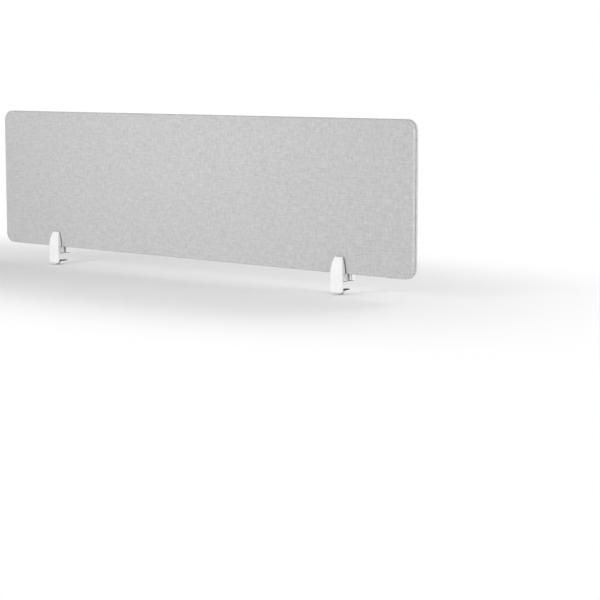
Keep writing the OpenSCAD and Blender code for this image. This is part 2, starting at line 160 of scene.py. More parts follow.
class ClampSizes(PropertyGroup):
    """Edges of the castings, and sizes of screws and washers that the solids don't give."""

    show_radius: FloatProperty(
        name="Show radius", description="Edge radius of a casting's outer face", default=0.0016, unit="LENGTH")
    arm_radius: FloatProperty(
        name="Arm radius", description="Edge radius of a lower jaw's underside", default=0.0009, unit="LENGTH")
    cast_radius: FloatProperty(
        name="Cast radius", description="Edge radius of the other cast edges", default=0.0004, unit="LENGTH")
    rubber_radius: FloatProperty(
        name="Rubber radius", description="Edge radius of liners and pads", default=0.0003, unit="LENGTH")
    turned_edge: FloatProperty(
        name="Turned edge", description="Chamfer of pins, washers and screw heads", default=0.0004, unit="LENGTH")
    washer_room: FloatProperty(
        name="Washer room", description="Room on both faces of a washer", default=0.00002, unit="LENGTH")
    cross_hole: FloatProperty(
        name="Cross hole", description="Hole radius of the cross bolt's washer", default=0.0034, unit="LENGTH")
    draw_hole: FloatProperty(
        name="Draw hole", description="Hole radius of the draw bolt's washer", default=0.0030, unit="LENGTH")
    cross_thread: FloatProperty(
        name="Cross thread", description="Thread diameter of the cross bolt", default=0.006, unit="LENGTH")
    draw_thread: FloatProperty(
        name="Draw thread", description="Thread diameter of the draw bolt", default=0.005, unit="LENGTH")
    cross_head: FloatProperty(
        name="Cross head", description="Head height of the cross bolt", default=0.006, unit="LENGTH")
    draw_head: FloatProperty(
        name="Draw head", description="Head height of the draw bolt", default=0.004, unit="LENGTH")
    cross_key: FloatProperty(
        name="Cross key", description="Width of the cross bolt's hexagon", default=0.005, unit="LENGTH")
    draw_key: FloatProperty(
        name="Draw key", description="Width of the draw bolt's hexagon", default=0.004, unit="LENGTH")
    cross_pitch: FloatProperty(
        name="Cross pitch", description="Thread pitch of the cross bolt", default=0.0010, unit="LENGTH")
    draw_pitch: FloatProperty(
        name="Draw pitch", description="Thread pitch of the draw bolt", default=0.0008, unit="LENGTH")
    turn_steps: IntProperty(
        name="Turn steps", description="Mesh steps in one turn of thread", default=18, min=8)


class ClampFinish(PropertyGroup):
    """Colours of paint, rubber and steel."""

    paint: FloatVectorProperty(
        name="Paint", description="Powder paint of the castings", default=(0.80, 0.80, 0.795), size=3, subtype="COLOR")
    rubber: FloatVectorProperty(
        name="Rubber", description="Rubber of liners and pads", default=(0.050, 0.050, 0.052),
        size=3, subtype="COLOR")
    steel: FloatVectorProperty(
        name="Steel", description="Plated steel of screws, pins and washers", default=(0.62, 0.62, 0.61),
        size=3, subtype="COLOR")


class StudioSettings(PropertyGroup):
    """Camera, lamps and floor."""

    eye: FloatVectorProperty(
        name="Eye", description="Place of the camera", default=(3.6672, -3.5573, 0.5338), size=3, subtype="XYZ")
    aim: FloatVectorProperty(
        name="Aim", description="Point in the middle of the picture", default=(0.4106, 0.0145, -0.0623),
        size=3, subtype="XYZ")
    lens: FloatProperty(
        name="Lens", description="Focal length on a 36 mm sensor", default=110.45, unit="CAMERA")
    ambient: FloatProperty(
        name="Ambient", description="Light of the white surroundings", default=0.50)
    key_power: FloatProperty(
        name="Key power", description="Lamp in front of the panel", default=37.5, subtype="POWER")
    side_power: FloatProperty(
        name="Side power", description="Lamp beside the panel's right end", default=41.0, subtype="POWER")
    back_power: FloatProperty(
        name="Back power", description="Lamp behind the panel", default=42.0, subtype="POWER")
    floor: FloatVectorProperty(
        name="Floor", description="Colour of the floor near the part", default=(0.90, 0.90, 0.90),
        size=3, subtype="COLOR")


class DeskPanelSettings(PropertyGroup):
    """All settings of the panel and its studio."""

    upholstery: PointerProperty(
        name="Upholstery", description="Sizes of covers, wadding and strip", type=UpholsterySizes)
    textiles: PointerProperty(
        name="Textiles", description="Weave and colours of the panel", type=ClothFinish)
    clamp: PointerProperty(
        name="Clamp", description="Edges, screws and washers of the clamps", type=ClampSizes)
    clamp_finish: PointerProperty(
        name="Clamp finish", description="Colours of the clamps", type=ClampFinish)
    studio: PointerProperty(
        name="Studio", description="Camera, lamps and floor", type=StudioSettings)


def settings():
    """The panel's settings in the open scene."""
    return bpy.context.scene.desk_panel


def solid_colour(colour):
    """A colour with full cover, for a shader socket."""
    return (*colour, 1.0)


def add_node(tree, kind, inputs=None, **options):
    """A new shader node, with its inputs set or linked."""
    node = tree.nodes.new(kind)
    for name, value in options.items():
        setattr(node, name, value)
    for name, value in (inputs or {}).items():
        if isinstance(value, bpy.types.NodeSocket):
            tree.links.new(value, node.inputs[name])
        else:
            node.inputs[name].default_value = value
    return node


def arithmetic(tree, operation, first, second=0.0):
    """The result of a Math node."""
    return add_node(tree, "ShaderNodeMath", {0: first, 1: second}, operation=operation).outputs[0]


def between(tree, factor, first, second):
    """A number that goes from the first to the second."""
    return add_node(tree, "ShaderNodeMix", {0: factor, 2: first, 3: second}).outputs[0]


def blended(tree, factor, first, second):
    """A colour that goes from the first to the second."""
    return add_node(tree, "ShaderNodeMix", {0: factor, 6: first, 7: second}, data_type="RGBA").outputs[2]


def point(tree, across, along, depth):
    """A vector of three numbers."""
    return add_node(tree, "ShaderNodeCombineXYZ", {0: across, 1: along, 2: depth}).outputs[0]


def speckle(tree, place, scale, detail=2.0, roughness=0.5):
    """A noise value on the given place."""
    texture = add_node(
        tree, "ShaderNodeTexNoise", {"Vector": place, "Scale": scale, "Detail": detail, "Roughness": roughness})
    return texture.outputs[0]


def in_range(tree, value, low, high, start, end):
    """A value taken from one range to another."""
    node = add_node(tree, "ShaderNodeMapRange", {0: value, 1: low, 2: high, 3: start, 4: end})
    return node.outputs[0]


def new_group(name, inputs, outputs):
    """An empty shader node group with named sockets."""
    group = bpy.data.node_groups.new(name, "ShaderNodeTree")
    for title, kind in inputs:
        group.interface.new_socket(title, in_out="INPUT", socket_type=kind)
    for title, kind in outputs:
        group.interface.new_socket(title, in_out="OUTPUT", socket_type=kind)
    entry = group.nodes.new("NodeGroupInput")
    return group, entry.outputs, group.nodes.new("NodeGroupOutput")


def grain_group():
    """Fine and coarse unevenness, shared by paint, rubber, steel and fibres."""
    name = "surface_grain"
    if name in bpy.data.node_groups:
        return bpy.data.node_groups[name]
    group, given, result = new_group(
        name,
        [("Place", "NodeSocketVector"), ("Grains", "NodeSocketFloat"), ("Blotches", "NodeSocketFloat")],
        [("Grain", "NodeSocketFloat"), ("Blotch", "NodeSocketFloat")])
    fine = speckle(group, given["Place"], given["Grains"], 3.0, 0.6)
    broad = speckle(group, given["Place"], given["Blotches"], 2.0, 0.45)
    group.links.new(in_range(group, fine, 0.3, 0.7, 0.0, 1.0), result.inputs["Grain"])
    group.links.new(in_range(group, broad, 0.3, 0.7, 0.0, 1.0), result.inputs["Blotch"])
    return group


def wood_group():
    """Long grain of sawn wood, with early and late bands."""
    name = "wood_grain"
    if name in bpy.data.node_groups:
        return bpy.data.node_groups[name]
    group, given, result = new_group(
        name,
        [("Place", "NodeSocketVector"), ("Light", "NodeSocketColor"), ("Dark", "NodeSocketColor")],
        [("Colour", "NodeSocketColor"), ("Ridge", "NodeSocketFloat")])
    drift = speckle(group, given["Place"], 3.0, 2.0)
    rings = add_node(
        group, "ShaderNodeTexWave",
        {"Vector": given["Place"], "Scale": 24.0, "Distortion": 3.0, "Detail": 2.0, "Detail Scale": 1.5},
        bands_direction="Y")
    fibre = speckle(group, given["Place"], 160.0, 3.0, 0.6)
    band = arithmetic(group, "MULTIPLY", rings.outputs["Fac"], in_range(group, drift, 0.3, 0.7, 0.4, 1.0))
    tone = between(group, 0.35, band, fibre)
    group.links.new(blended(group, tone, given["Light"], given["Dark"]), result.inputs["Colour"])
    group.links.new(tone, result.inputs["Ridge"])
    return group


def new_finish(name):
    """A new material, its node tree and its Principled shader."""
    material = bpy.data.materials.new(name)
    material.use_nodes = True
    tree = material.node_tree
    tree.nodes.clear()
    shader = tree.nodes.new("ShaderNodeBsdfPrincipled")
    output = tree.nodes.new("ShaderNodeOutputMaterial")
    tree.links.new(shader.outputs[0], output.inputs["Surface"])
    return material, tree, shader


def set_even(shader, values):
    """Sets what is the same all over a surface."""
    for title, value in values.items():
        shader.inputs[title].default_value = value


def object_place(tree):
    """The place on the piece, in metres."""
    return tree.nodes.new("ShaderNodeTexCoord").outputs["Object"]


def raise_surface(tree, shader, height, distance, strength=1.0):
    """Bump of the given height in metres."""
    bump = add_node(tree, "ShaderNodeBump", {"Strength": strength, "Distance": distance, "Height": height})
    tree.links.new(bump.outputs[0], shader.inputs["Normal"])


def grained_finish(name, colour, tone, grains, blotches, roughness, height):
    """A plain coloured finish with grain: tone and roughness are low and high values."""
    material, tree, shader = new_finish(name)
    grain = add_node(
        tree, "ShaderNodeGroup", {"Place": object_place(tree), "Grains": grains, "Blotches": blotches},
        node_tree=grain_group())
    mixed = between(tree, 0.5, grain.outputs["Grain"], grain.outputs["Blotch"])
    darker = solid_colour(channel * tone[0] for channel in colour)
    lighter = solid_colour(min(channel * tone[1], 0.95) for channel in colour)
    tree.links.new(blended(tree, mixed, darker, lighter), shader.inputs["Base Color"])
    tree.links.new(in_range(tree, mixed, 0.0, 1.0, *roughness), shader.inputs["Roughness"])
    raise_surface(tree, shader, grain.outputs["Grain"], height)
    return material, shader


def paint_finish():
    """White powder paint on a casting."""
    material, shader = grained_finish(
        "white_powder_paint", settings().clamp_finish.paint,
        tone=(0.985, 1.012), grains=1500.0, blotches=60.0, roughness=(0.34, 0.46), height=0.000012)
    set_even(shader, {"Coat Weight": 0.12, "Coat Roughness": 0.25})
    return material


def rubber_finish():
    """Dull black rubber."""
    material, shader = grained_finish(
        "black_grip_rubber", settings().clamp_finish.rubber,
        tone=(0.8, 1.25), grains=2600.0, blotches=120.0, roughness=(0.68, 0.88), height=0.00003)
    set_even(shader, {"Specular IOR Level": 0.4})
    return material


def steel_finish():
    """Bright zinc plate on turned steel."""
    material, shader = grained_finish(
        "bright_plated_steel", settings().clamp_finish.steel,
        tone=(0.88, 1.08), grains=2200.0, blotches=180.0, roughness=(0.22, 0.40), height=0.000006)
    set_even(shader, {"Metallic": 1.0})
    return material


def strip_finish():
    """Grey plastic strip in the seam."""
    material, _ = grained_finish(
        "grey_seam_strip", settings().textiles.seam_strip,
        tone=(0.85, 1.15), grains=1800.0, blotches=90.0, roughness=(0.45, 0.62), height=0.00002)
    return material


def fleece_finish():
    """Off-white needled wadding."""
    material, shader = grained_finish(
        "needled_fleece", settings().textiles.fleece,
        tone=(0.86, 1.05), grains=900.0, blotches=45.0, roughness=(0.9, 1.0), height=0.0003)
    set_even(shader, {"Sheen Weight": 0.25})
    return material


def felt_finish():
    """Pressed grey fibre board."""
    material, shader = grained_finish(
        "pressed_felt", settings().textiles.felt,
        tone=(0.65, 1.35), grains=700.0, blotches=60.0, roughness=(0.88, 1.0), height=0.0004)
    set_even(shader, {"Sheen Weight": 0.2})
    return material


def wood_finish(name, colour, stretch):
    """Sawn wood whose grain runs along the long side."""
    material, tree, shader = new_finish(name)
    mapping = add_node(tree, "ShaderNodeMapping", {"Vector": object_place(tree), "Scale": stretch})
    light = solid_colour(channel * 1.15 for channel in colour)
    dark = solid_colour(channel * 0.72 for channel in colour)
    grain = add_node(
        tree, "ShaderNodeGroup", {"Place": mapping.outputs[0], "Light": light, "Dark": dark}, node_tree=wood_group())
    tree.links.new(grain.outputs["Colour"], shader.inputs["Base Color"])
    tree.links.new(in_range(tree, grain.outputs["Ridge"], 0.0, 1.0, 0.55, 0.75), shader.inputs["Roughness"])
    raise_surface(tree, shader, grain.outputs["Ridge"], 0.0001)
    return material


def yarn_round(tree, count):
    """Rise and fall over the width of each counted yarn."""
    return arithmetic(tree, "ABSOLUTE", arithmetic(tree, "SINE", arithmetic(tree, "MULTIPLY", count, math.pi)))


def cloth_speckle(tree, across, along, stretch, layer, detail, roughness):
    """Noise on the cloth, with its own frequency across and along it."""
    place = point(tree, arithmetic(tree, "MULTIPLY", across, stretch[0]),
                  arithmetic(tree, "MULTIPLY", along, stretch[1]), layer)
    return speckle(tree, place, 1.0, detail, roughness)


def cloth_finish():
    """Plain weave of mixed light and dark grey yarn, on the flat places of the cut cloth, with painted shade between
    the yarns.
    """
    yarn_apart, yarn_run = 3.7, 0.11
    valley = 0.45
    textiles = settings().textiles
    material, tree, shader = new_finish("woven_mixture_cloth")
    flat = add_node(tree, "ShaderNodeUVMap", uv_map="flat_cloth").outputs[0]
    counted = add_node(
        tree, "ShaderNodeVectorMath", {0: flat, "Scale": textiles.yarns}, operation="SCALE").outputs[0]
    sides = add_node(tree, "ShaderNodeSeparateXYZ", {0: counted}).outputs
    across, along = sides[0], sides[1]
    warp = arithmetic(tree, "FLOOR", across)
    weft = arithmetic(tree, "FLOOR", along)
    over = arithmetic(tree, "FLOORED_MODULO", arithmetic(tree, "ADD", warp, weft), 2.0)
    warp_round = yarn_round(tree, across)
    weft_round = yarn_round(tree, along)
    warp_height = arithmetic(tree, "MULTIPLY", warp_round, in_range(tree, weft_round, 0.0, 1.0, valley, 1.0))
    weft_height = arithmetic(tree, "MULTIPLY", weft_round, in_range(tree, warp_round, 0.0, 1.0, valley, 1.0))
    height = between(tree, over, warp_height, weft_height)
    warp_mix = cloth_speckle(tree, warp, along, (yarn_apart, yarn_run), layer=2.0, detail=3.0, roughness=0.65)
    weft_mix = cloth_speckle(tree, across, weft, (yarn_run, yarn_apart), layer=9.0, detail=3.0, roughness=0.65)
    yarn = between(tree, over, warp_mix, weft_mix)
    upright_slub = cloth_speckle(tree, across, along, (0.2, 0.07), layer=4.0, detail=2.0, roughness=0.5)
    level_slub = cloth_speckle(tree, across, along, (0.04, 0.24), layer=7.0, detail=2.0, roughness=0.5)
    slub = arithmetic(tree, "ADD", upright_slub, level_slub)
    fibre = speckle(tree, counted, 3.0, 2.0, 0.6)
    tone = arithmetic(tree, "ADD", in_range(tree, yarn, 0.28, 0.72, 0.090, 0.710),
                      in_range(tree, slub, 0.6, 1.4, -0.235, 0.235))
    tone = arithmetic(tree, "ADD", tone, in_range(tree, fibre, 0.3, 0.7, 0.0, 0.2))
    colour = blended(tree, tone, solid_colour(textiles.dark_yarn), solid_colour(textiles.light_yarn))
    # Painted shade: the colour is darker in the valleys between yarns and a little lighter on their crowns, as light
    # falls on the weave
    painted_valley_shade = arithmetic(tree, "ADD", arithmetic(tree, "MULTIPLY", height, 0.24), 0.82)
    deep = add_node(tree, "ShaderNodeVectorMath", {0: colour, "Scale": painted_valley_shade}, operation="SCALE").outputs[0]
    tree.links.new(deep, shader.inputs["Base Color"])
    tree.links.new(in_range(tree, fibre, 0.2, 0.8, 0.82, 0.98), shader.inputs["Roughness"])
    set_even(shader, {"Specular IOR Level": 0.25, "Sheen Weight": 0.15, "Sheen Roughness": 0.45})
    raised = arithmetic(tree, "ADD", height, arithmetic(tree, "MULTIPLY", fibre, 0.25))
    raise_surface(tree, shader, raised, distance=0.00022, strength=0.8)
    return material


def finish_of(name, maker):
    """The named material, made on first use."""
    return bpy.data.materials.get(name) or maker()


def place_piece(bm, name, material, body, nodes):
    """Puts a finished mesh in the scene, on its body, in place of its solids."""
    bm.normal_update()
    for face in bm.faces:
        face.smooth = True
    mesh = bpy.data.meshes.new(name)
    bm.to_mesh(mesh)
    bm.free()
    mesh.materials.append(material)
    piece = bpy.data.objects.new(name, mesh)
    bpy.context.scene.collection.objects.link(piece)
    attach(piece, body)
    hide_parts(*nodes)
    return piece


def even_normals(piece):
    """Keeps broad faces flat beside their rounded edges."""
    piece.modifiers.new("broad_faces_flat", "WEIGHTED_NORMAL").weight = 80


def chain(bm, places):
    """A row of joined vertices: returns vertices and edges."""
    vertices = [bm.verts.new(place) for place in places]
    edges = [bm.edges.new(pair) for pair in zip(vertices, vertices[1:])]
    return vertices, edges


def made_edges(result, key="geom"):
    """The edges that an operator returned."""
    return [item for item in result[key] if isinstance(item, bmesh.types.BMEdge)]


def made_vertices(result, key="geom"):
    """The vertices that an operator returned."""
    return [item for item in result[key] if isinstance(item, bmesh.types.BMVert)]


def run_straight(bm, edges, travel, steps):
    """Extrudes a profile along a straight run."""
    for _ in range(steps):
        result = bmesh.ops.extrude_edge_only(bm, edges=edges)
        bmesh.ops.translate(bm, verts=made_vertices(result), vec=travel / steps)
        edges = last_row(made_edges(result), made_vertices(result))
    return edges


def last_row(edges, vertices):
    """The edges that lie wholly on the newest vertices."""
    newest = set(vertices)
    return [edge for edge in edges if set(edge.verts) <= newest]


def run_corner(bm, edges, centre, steps):
    """Spins a profile round a corner of the panel."""
    vertices = list({vertex for edge in edges for vertex in edge.verts})
    result = bmesh.ops.spin(
        bm, geom=vertices + edges, cent=centre, axis=(0, 1, 0), angle=QUARTER_TURN, steps=steps,
        dvec=(0, 0, 0), use_merge=False, use_normal_flip=False, use_duplicate=False)
    return last_row(made_edges(result, "geom_last"), made_vertices(result, "geom_last"))


def run_round_rim(bm, edges, half_length, half_height, middle, cells, corner_steps):
    """Sweeps a profile round the rim, from the top left corner's end, back to its start."""
    right, left, up, down = (Vector(way) for way in ((1, 0, 0), (-1, 0, 0), (0, 0, 1), (0, 0, -1)))
    legs = (
        (right * 2 * half_length, cells[0], (half_length, half_height)),
        (down * 2 * half_height, cells[1], (half_length, -half_height)),
        (left * 2 * half_length, cells[0], (-half_length, -half_height)),
        (up * 2 * half_height, cells[1], (-half_length, half_height)))
    for travel, steps, corner in legs:
        edges = run_straight(bm, edges, travel, steps)
        edges = run_corner(bm, edges, (corner[0], middle.y, middle.z + corner[1]), corner_steps)
    bmesh.ops.remove_doubles(bm, verts=bm.verts, dist=TOUCHING)


def arc(centre, radius, start, end, steps):
    """Points of an arc as reach and depth, without its first point."""
    for step in range(1, steps + 1):
        angle = start + (end - start) * step / steps
        yield centre[0] + radius * math.cos(angle), centre[1] + radius * math.sin(angle)


def cover_profile(sizes, depth):
    """Reach from the corner centres and depth below the face, from the flat face into the seam."""
    reach = sizes.corner_radius
    edge = sizes.edge_radius
    seam = sizes.seam_radius
    flat_end = reach - edge
    soft_start = flat_end * 0.35
    rows = [(0.0, 0.0), (soft_start, 0.0)]
    for step in range(1, SOFT_STEPS + 1):
        share = step / SOFT_STEPS
        rows.append((soft_start + (flat_end - soft_start) * share, sizes.edge_drop * share * share))
    rows += arc((flat_end, sizes.edge_drop + edge), edge, -QUARTER_TURN, 0.0, EDGE_STEPS)
    rows += [(reach, (sizes.edge_drop + edge + depth - seam) / 2)]
    rows += [(reach, depth - seam)]
    rows += arc((reach - seam, depth - seam), seam, 0.0, QUARTER_TURN, SEAM_STEPS)
    rows += [(reach - seam - (sizes.tuck - seam) / 2, depth), (reach - sizes.tuck, depth)]
    return rows


class UpholsteryOperator:
    """Measures that the covers, wadding and strip share."""

    def panel(self):
        """Half sizes between corner centres, the panel's middle, and the mesh cells along both sides."""
        sizes = settings().upholstery
        low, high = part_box("front_cover")
        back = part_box("back_cover")[1]
        half_length = (high.x - low.x) / 2 - sizes.corner_radius
        half_height = (high.z - low.z) / 2 - sizes.corner_radius
        middle = Vector(((low.x + high.x) / 2, (low.y + back.y) / 2, (low.z + high.z) / 2))
        cells = [max(2, round(2 * half / sizes.mesh_step)) for half in (half_length, half_height)]
        return half_length, half_height, middle, cells

    def flat_fill(self, bm, half_length, half_height, middle, depth, cells):
        """A grid of cells over the flat of a face."""
        turn = Matrix.Translation((middle.x, depth, middle.z)) @ Matrix.Rotation(QUARTER_TURN, 4, "X")
        turn = turn @ Matrix.Diagonal((half_length, half_height, 1, 1))
        return bmesh.ops.create_grid(bm, x_segments=cells[0], y_segments=cells[1], size=1.0, matrix=turn)


class DESKPANEL_OT_covers(UpholsteryOperator, Operator):
    """Stretches the woven covers over both faces and tucks them into the seam"""

    bl_idname = "desk_panel.covers"
    bl_label = "Covers"

    def execute(self, context):
        material = finish_of("woven_mixture_cloth", cloth_finish)
        for name in FACES:
            self.make_cover(name, material)
        return {"FINISHED"}

    def make_cover(self, name, material):
        """One cover, from the middle of its face into the seam, with the size of its cut cloth."""
        sizes = settings().upholstery
        half_length, half_height, middle, cells = self.panel()
        low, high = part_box(f"{name}_cover")
        inward = 1.0 if name == "front" else -1.0
        face = low.y if name == "front" else high.y
        rows = cover_profile(sizes, high.y - low.y)
        bm = bmesh.new()
        flat_reach = bm.verts.layers.float.new("flat_reach")
        start = Vector((middle.x - half_length, face, middle.z + half_height))
        vertices, edges = chain(bm, [start + Vector((0, inward * deep, reach)) for reach, deep in rows])
        covered = 0.0
        for first, second in zip(vertices, vertices[1:]):
            covered += (second.co - first.co).length
            second[flat_reach] = covered
        run_round_rim(bm, edges, half_length, half_height, middle, cells, COVER_CORNER_STEPS)
        self.flat_fill(bm, half_length, half_height, middle, face, cells)
        bmesh.ops.remove_doubles(bm, verts=bm.verts, dist=TOUCHING)
        bmesh.ops.recalc_face_normals(bm, faces=bm.faces)
        self.point_outwards(bm, -inward)
        self.lay_flat(bm, half_length, half_height, middle)
        self.uneven(bm, sizes, inward)
        piece = place_piece(bm, f"{name}_cover_cloth", material, "panel", [f"{name}_cover"])
        wall = piece.modifiers.new("cloth_thickness", "SOLIDIFY")
        wall.thickness = sizes.cloth
        wall.offset = -1.0

    def point_outwards(self, bm, outward):
        """Turns the sheet so that its face looks away from the core."""
        if sum(face.normal.y * face.calc_area() for face in bm.faces) * outward < 0:
            bmesh.ops.reverse_faces(bm, faces=bm.faces)

    def lay_flat(self, bm, half_length, half_height, middle):
        """Writes each point's place on the cut cloth."""
        reach_layer = bm.verts.layers.float["flat_reach"]
        cloth = bm.loops.layers.uv.new("flat_cloth")
        for face in bm.faces:
            for loop in face.loops:
                place = Vector((loop.vert.co.x - middle.x, loop.vert.co.z - middle.z))
                corner = Vector((max(-half_length, min(half_length, place.x)),
                                 max(-half_height, min(half_height, place.y))))
                way = place - corner
                if way.length > TOUCHING:
                    corner += way.normalized() * loop.vert[reach_layer]
                loop[cloth].uv = corner

    def uneven(self, bm, sizes, inward):
        """A faint unevenness of the face, always towards the core."""
        waves, layer = 8.0, 5.0
        reach_layer = bm.verts.layers.float["flat_reach"]
        flat_end = sizes.corner_radius - sizes.edge_radius
        for vertex in bm.verts:
            share = max(0.0, 1.0 - vertex[reach_layer] / flat_end)
            wave = 0.5 + 0.5 * noise.noise(Vector((vertex.co.x * waves, inward * layer, vertex.co.z * waves)))
            vertex.co.y += inward * sizes.ripple * wave * min(1.0, share * 2.0)


class DESKPANEL_OT_wadding(UpholsteryOperator, Operator):
    """Lays the wadding between each cover and the core"""

    bl_idname = "desk_panel.wadding"
    bl_label = "Wadding"

    def execute(self, context):
        material = finish_of("needled_fleece", fleece_finish)
        for name in FACES:
            self.make_layer(name, material)
        return {"FINISHED"}

    def make_layer(self, name, material):
        """One layer: flat on the core, with a rolled outer edge, and clear of the cover's unevenness."""
        half_length, half_height, middle, cells = self.panel()
        low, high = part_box(f"{name}_wadding")
        inward = 1.0 if name == "front" else -1.0
        top = (low.y if name == "front" else high.y) + inward * settings().upholstery.ripple * 1.5
        bottom = high.y if name == "front" else low.y
        reach = high.z - middle.z - half_height
        bm = bmesh.new()
        start = Vector((middle.x - half_length, top, middle.z + half_height))
        rows = self.layer_profile(reach, abs(bottom - top))
        _, edges = chain(bm, [start + Vector((0, inward * deep, out)) for out, deep in rows])
        run_round_rim(bm, edges, half_length, half_height, middle, cells, WADDING_CORNER_STEPS)
        self.flat_fill(bm, half_length, half_height, middle, top, cells)
        self.flat_fill(bm, half_length, half_height, middle, bottom, cells)
        bmesh.ops.remove_doubles(bm, verts=bm.verts, dist=TOUCHING)
        bmesh.ops.recalc_face_normals(bm, faces=bm.faces)
        piece = place_piece(bm, f"{name}_wadding_layer", material, "panel", [f"{name}_wadding"])
        even_normals(piece)

    def layer_profile(self, reach, thick):
        """Reach from the corner centres and depth below the upper face, round the layer's edge and back."""
        half_way = reach * 0.5
        roll = thick * 0.8
        rows = [(0.0, 0.0), (half_way, 0.0), (reach - thick * 1.5, thick * 0.12)]
        rows += arc((reach - roll, thick * 0.72), roll, -QUARTER_TURN * 0.75, 0.0, SOFT_STEPS)
        rows += [(reach, thick), (half_way, thick), (0.0, thick)]
        return rows


class DESKPANEL_OT_keder(UpholsteryOperator, Operator):
    """Presses the rounded strip into the seam between both covers"""

    bl_idname = "desk_panel.keder"
    bl_label = "Seam strip"

    def execute(self, context):
        sizes = settings().upholstery
        half_length, half_height, middle, cells = self.panel()
        low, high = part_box("edge_keder")
        reach = high.z - middle.z - half_height
        root = reach - sizes.tuck + sizes.seam_radius
        half = (high.y - low.y) / 2
        bm = bmesh.new()
        rows = [(root, -half), (reach - half, -half)]
        rows += arc((reach - half, 0.0), half, -QUARTER_TURN, QUARTER_TURN, EDGE_STEPS)
        rows += [(root, half), (root, -half)]
        start = Vector((middle.x - half_length, middle.y, middle.z + half_height))
        _, edges = chain(bm, [start + Vector((0, deep, out)) for out, deep in rows])
        run_round_rim(bm, edges, half_length, half_height, middle, STRIP_CELLS, STRIP_CORNER_STEPS)
        bmesh.ops.recalc_face_normals(bm, faces=bm.faces)
        place_piece(
            bm, "seam_strip", finish_of("grey_seam_strip", strip_finish), "panel", ["edge_keder"])
        return {"FINISHED"}


class DESKPANEL_OT_core(Operator):
    """Gives the frame, its dowels and the absorbing core their finishes"""

    bl_idname = "desk_panel.core"
    bl_label = "Frame and core"

    def execute(self, context):
        textiles = settings().textiles
        along_rail = (0.12, 1.0, 1.0)
        along_stile = (1.0, 1.0, 0.12)
        finishes = {
            "frame_top_rail": wood_finish("sawn_rail_wood", textiles.frame_wood, along_rail),
            "frame_left_stile": wood_finish("sawn_stile_wood", textiles.frame_wood, along_stile),
            "frame_dowels": wood_finish("turned_dowel_wood", textiles.dowel_wood, along_rail),
            "absorber_core": felt_finish(),
        }
        finishes["frame_bottom_rail"] = finishes["frame_top_rail"]
        finishes["frame_right_stile"] = finishes["frame_left_stile"]
        for node, material in finishes.items():
            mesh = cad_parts[node].data
            mesh.materials.clear()
            mesh.materials.append(material)
        return {"FINISHED"}


def merged_copy(node):
    """A copy of a solid's mesh with its triangles joined into whole faces."""
    bm = bmesh.new()
    bm.from_mesh(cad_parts[node].data)
    bmesh.ops.remove_doubles(bm, verts=bm.verts, dist=TOUCHING)
    bmesh.ops.dissolve_limit(bm, angle_limit=SAME_FACE, verts=bm.verts, edges=bm.edges)
    return bm


def outer_edges(bm):
    """The sharp edges that stand out."""
    return [edge for edge in bm.edges
            if len(edge.link_faces) == 2 and edge.is_convex and edge.calc_face_angle() > SHARP_EDGE]


def round_edges(bm, edges, radius, segments):
    """Rounds the given edges and returns the edges that this makes."""
    rounded = bmesh.ops.bevel(
        bm, geom=edges, offset=radius, offset_type="OFFSET", segments=segments, profile=0.5, affect="EDGES",
        material=-1, clamp_overlap=False, loop_slide=False)
    return set(rounded["edges"])


class DESKPANEL_OT_castings(Operator):
    """Rounds the edges of the painted jaws, most of all round their outer faces"""

    bl_idname = "desk_panel.castings"
    bl_label = "Cast jaws"

    def execute(self, context):
        sizes = settings().clamp
        jaws = (("outer_jaw", "clamp", Vector((0, -1, 0)), sizes.show_radius, "draw_bolt"),
                ("inner_jaw", "inner", Vector((0, 1, 0)), sizes.show_radius, "cross_bolt"),
                ("lower_jaw", "lower", Vector((0, 0, -1)), sizes.arm_radius, "draw_bolt"))
        for side in SIDES:
            for jaw, body, shown, radius, bolt in jaws:
                self.make_jaw(f"{side}_{jaw}", f"{side}_{body}", shown, radius, f"{side}_{bolt}")
        return {"FINISHED"}

    def make_jaw(self, node, body, shown, radius, bolt):
        """One casting: a larger radius round its outer face, and a small one on its other edges."""
        bm = merged_copy(node)
        furthest = max(vertex.co.dot(shown) for vertex in bm.verts)
        outline = [edge for edge in outer_edges(bm)
                   if self.borders(edge, shown, furthest) and not self.rings_bolt(edge, shown, bolt)]
        rounded = round_edges(bm, outline, radius, SHOW_SEGMENTS)
        others = [edge for edge in outer_edges(bm) if edge not in rounded]
        round_edges(bm, others, settings().clamp.cast_radius, SMALL_SEGMENTS)
        piece = place_piece(
            bm, f"{node}_casting", finish_of("white_powder_paint", paint_finish), body, [node])
        even_normals(piece)

    def borders(self, edge, shown, furthest):
        """Whether an edge lies on the border of the outer face."""
        facing = [face.normal.dot(shown) for face in edge.link_faces]
        near = max(furthest - vertex.co.dot(shown) for vertex in edge.verts) < BORDER_DEPTH
        return near and max(facing) > LOOKS_OUT and min(facing) < LOOKS_AWAY

    def rings_bolt(self, edge, shown, bolt):
        """Whether an edge lies round the hole of a bolt that enters the outer face."""
        low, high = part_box(bolt)
        ways = [vertex.co - (low + high) / 2 for vertex in edge.verts]
        return max((way - shown * way.dot(shown)).length for way in ways) < (high.x - low.x) * HOLE_SHARE


class DESKPANEL_OT_rubber(Operator):
    """Rounds the edges of the rubber liners and pads"""

    bl_idname = "desk_panel.rubber"
    bl_label = "Liners and pads"

    def execute(self, context):
        rubbers = {"outer_liner": "clamp", "shelf_pad": "clamp", "edge_pads": "clamp", "inner_liner": "inner",
                   "foot_pad": "inner", "lower_pad": "lower"}
        material = finish_of("black_grip_rubber", rubber_finish)
        for side in SIDES:
            for part, body in rubbers.items():
                node = f"{side}_{part}"
                bm = merged_copy(node)
                round_edges(bm, outer_edges(bm), settings().clamp.rubber_radius, SMALL_SEGMENTS)
                piece = place_piece(bm, f"{node}_rubber", material, f"{side}_{body}", [node])
                even_normals(piece)
        return {"FINISHED"}


